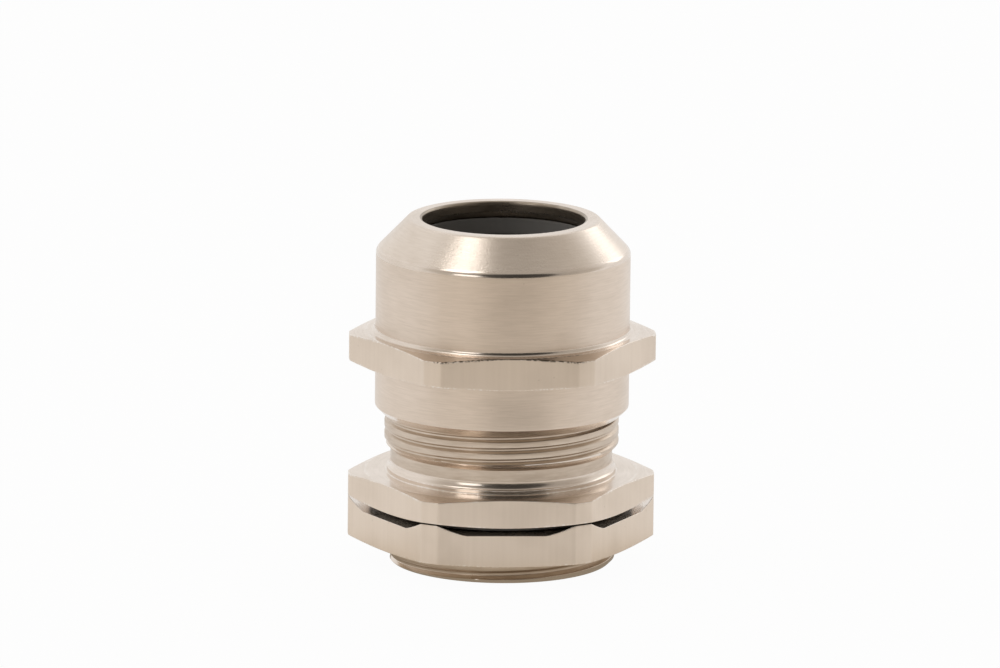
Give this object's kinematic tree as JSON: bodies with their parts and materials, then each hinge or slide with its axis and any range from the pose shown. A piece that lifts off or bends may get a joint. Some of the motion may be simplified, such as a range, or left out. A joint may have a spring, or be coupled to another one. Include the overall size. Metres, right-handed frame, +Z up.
{
  "type": "cable gland",
  "caption": "Metal cable gland with hexagon flange, coned compression nut, panel seal ring and earthing locknut, for round cable through a panel.",
  "frame": {"origin": "on the gland's axis in the flange's underside, where it seats on the panel", "axes": "+Z up the axis from the entry thread to the cap nut; -Y square out of the flange's front flat"},
  "size_m": [0.0268, 0.0242, 0.0304],
  "materials": {
    "nickel_plated_brass": "satin nickel plate over turned and milled brass",
    "contact_spring": "bright tinned spring bronze",
    "black_nylon": "moulded black polyamide",
    "black_rubber": "black nitrile rubber"
  },
  "bodies": {
    "locknut": {"locknut": "nickel_plated_brass"},
    "seal_ring": {"flange_o_ring": "black_rubber"},
    "body": {"gland_body": "nickel_plated_brass", "contact_ring": "contact_spring", "clamping_insert": "black_nylon", "sealing_insert": "black_rubber"},
    "slip_ring": {"thrust_ring": "black_nylon"},
    "cap": {"cap_nut": "nickel_plated_brass"}
  },
  "joints": [
    {"name": "entry_feed", "type": "slide", "parent": "locknut", "child": "seal_ring", "axis": [0, 0, 1], "range_m": [0, 0.0045]},
    {"name": "entry_turn", "type": "hinge", "parent": "seal_ring", "child": "body", "pos_m": [0, 0, 0], "axis": [0, 0, 1], "range_deg": [0, 1081]},
    {"name": "cap_feed", "type": "slide", "parent": "body", "child": "slip_ring", "axis": [0, 0, 1], "range_m": [-0.003, 0.006]},
    {"name": "cap_turn", "type": "hinge", "parent": "slip_ring", "child": "cap", "pos_m": [0, 0, 0], "axis": [0, 0, 1], "range_deg": [-1081, 2161]}
  ],
  "couplings": [
    {"joint": "entry_turn", "follows": "entry_feed", "rad_per_m": 4188.8},
    {"joint": "cap_turn", "follows": "cap_feed", "rad_per_m": 6283.2}
  ]
}
